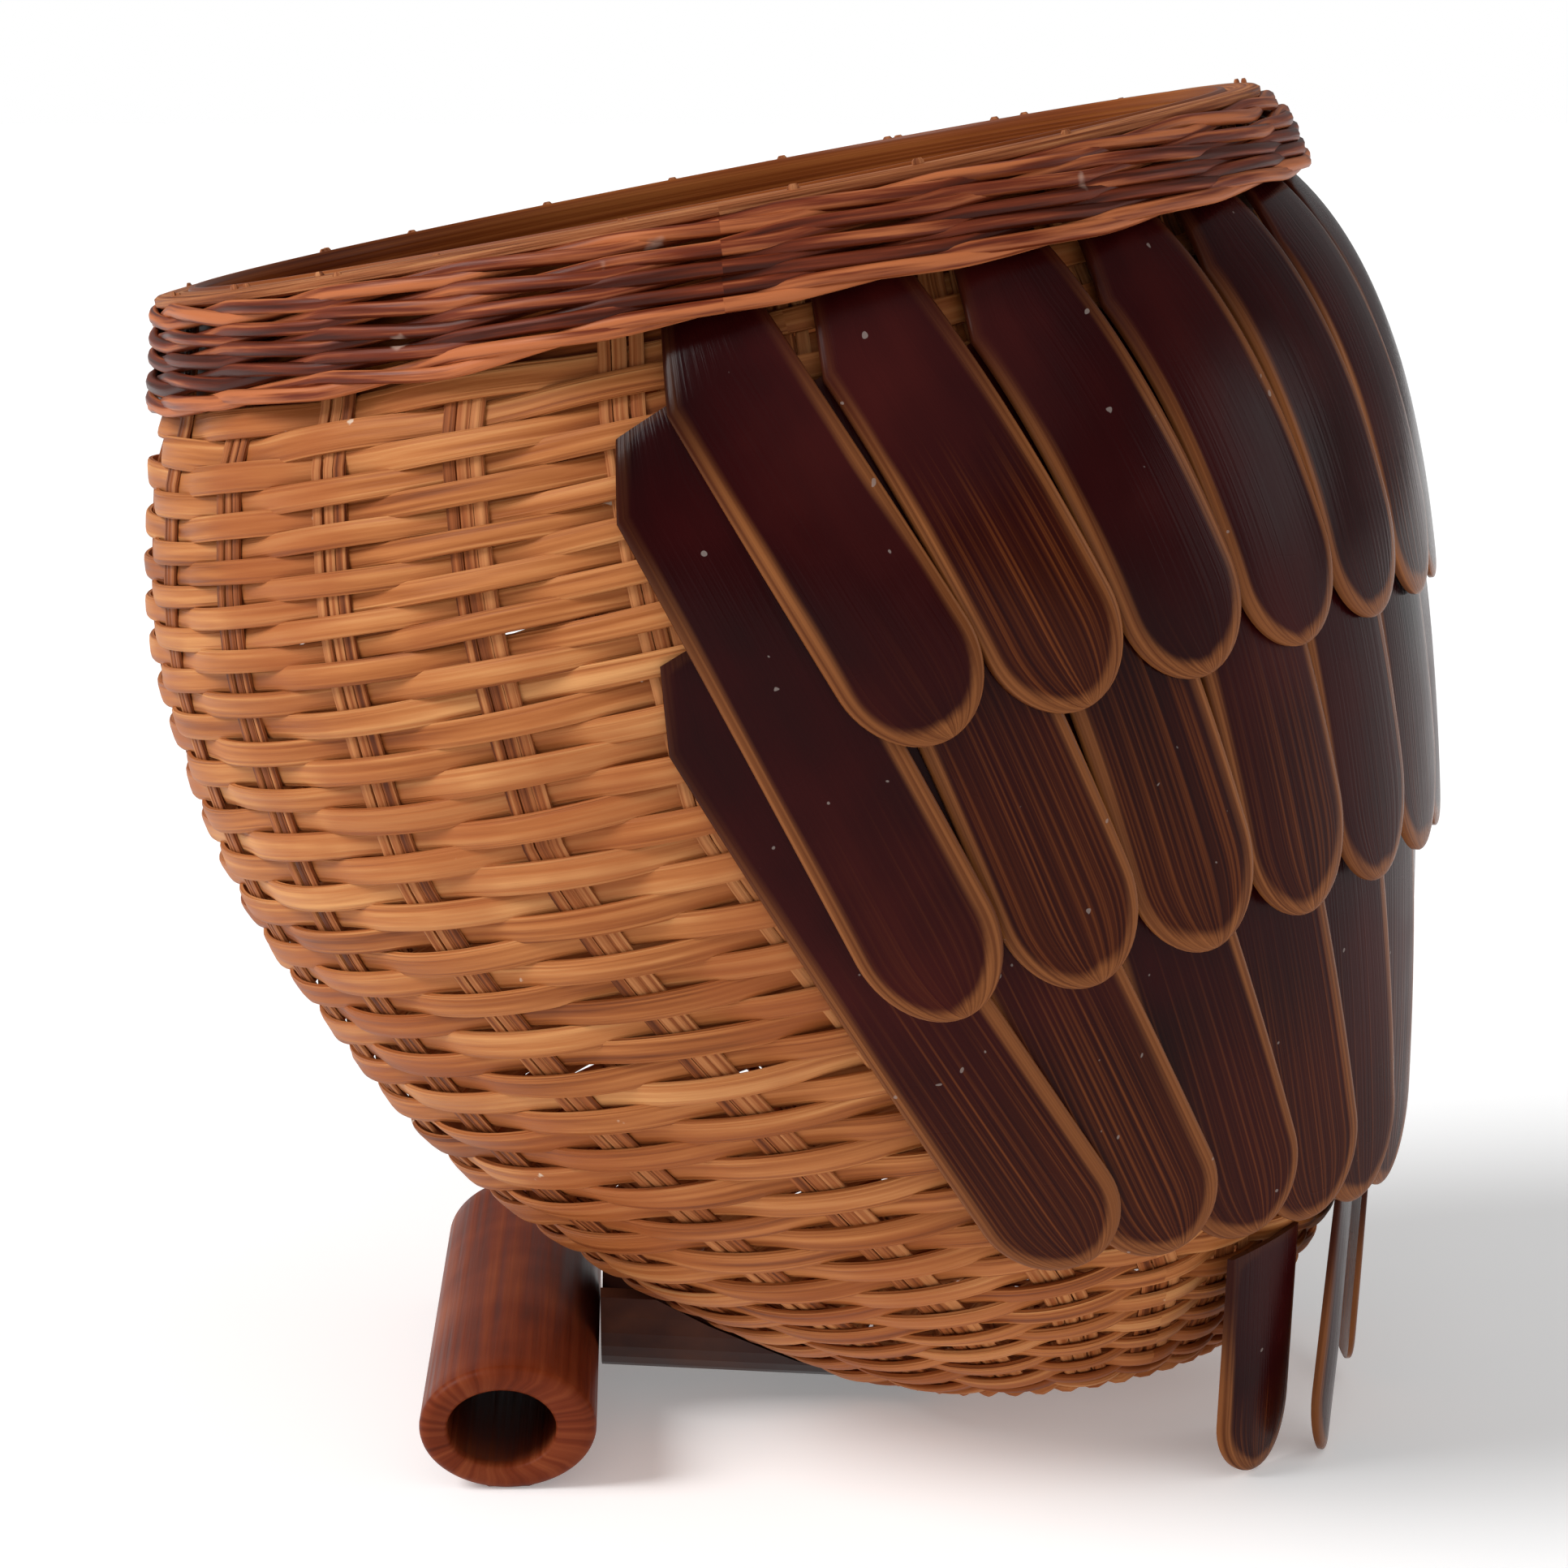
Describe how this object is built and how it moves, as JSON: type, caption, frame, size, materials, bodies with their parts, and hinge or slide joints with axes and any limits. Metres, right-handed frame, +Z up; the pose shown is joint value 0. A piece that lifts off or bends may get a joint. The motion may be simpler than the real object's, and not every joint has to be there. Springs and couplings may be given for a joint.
{
  "type": "bird planter",
  "caption": "Leaning woven rattan basket planter in the shape of a bird, with dark bamboo slats as wings and tail and a bamboo perch as its foot.",
  "frame": {"origin": "centre of the bounding box's base, on the floor the planter stands on", "axes": "-Y the way the bird faces, +X its left side, +Z up"},
  "size_m": [0.263, 0.2594, 0.268],
  "materials": {
    "rattan_weave": "woven, satin",
    "rattan_floor": "woven, satin",
    "rim_reed": "twined, satin",
    "rim_splint": "smooth, varnished",
    "rim_cane": "plain, satin",
    "wing_slat": "stained and varnished",
    "tail_slat": "stained and varnished",
    "bamboo_perch": "stained and varnished",
    "keel_cane": "stained and varnished"
  },
  "bodies": {
    "root": {"basket_wall": "rattan_weave", "basket_floor": "rattan_floor", "rim_band": "rim_reed", "rim_hoop": "rim_splint", "rim_cap": "rim_cane", "perch": "bamboo_perch", "keel": "keel_cane", "wing_upper_left_1": "wing_slat", "wing_upper_left_2": "wing_slat", "wing_upper_left_3": "wing_slat", "wing_upper_left_4": "wing_slat", "wing_upper_left_5": "wing_slat", "wing_upper_left_6": "wing_slat", "wing_upper_left_7": "wing_slat", "wing_upper_right_1": "wing_slat", "wing_upper_right_2": "wing_slat", "wing_upper_right_3": "wing_slat", "wing_upper_right_4": "wing_slat", "wing_upper_right_5": "wing_slat", "wing_upper_right_6": "wing_slat", "wing_upper_right_7": "wing_slat", "wing_middle_left_1": "wing_slat", "wing_middle_left_2": "wing_slat", "wing_middle_left_3": "wing_slat", "wing_middle_left_4": "wing_slat", "wing_middle_left_5": "wing_slat", "wing_middle_left_6": "wing_slat", "wing_middle_left_7": "wing_slat", "wing_middle_right_1": "wing_slat", "wing_middle_right_2": "wing_slat", "wing_middle_right_3": "wing_slat", "wing_middle_right_4": "wing_slat", "wing_middle_right_5": "wing_slat", "wing_middle_right_6": "wing_slat", "wing_middle_right_7": "wing_slat", "wing_lower_left_1": "wing_slat", "wing_lower_left_2": "wing_slat", "wing_lower_left_3": "wing_slat", "wing_lower_left_4": "wing_slat", "wing_lower_left_5": "wing_slat", "wing_lower_left_6": "wing_slat", "wing_lower_left_7": "wing_slat", "wing_lower_right_1": "wing_slat", "wing_lower_right_2": "wing_slat", "wing_lower_right_3": "wing_slat", "wing_lower_right_4": "wing_slat", "wing_lower_right_5": "wing_slat", "wing_lower_right_6": "wing_slat", "wing_lower_right_7": "wing_slat", "wing_upper_middle": "wing_slat", "wing_middle_middle": "wing_slat", "wing_lower_middle": "wing_slat", "tail_left_1": "tail_slat", "tail_left_2": "tail_slat", "tail_right_1": "tail_slat", "tail_right_2": "tail_slat", "tail_middle": "tail_slat"}
  },
  "joints": []
}
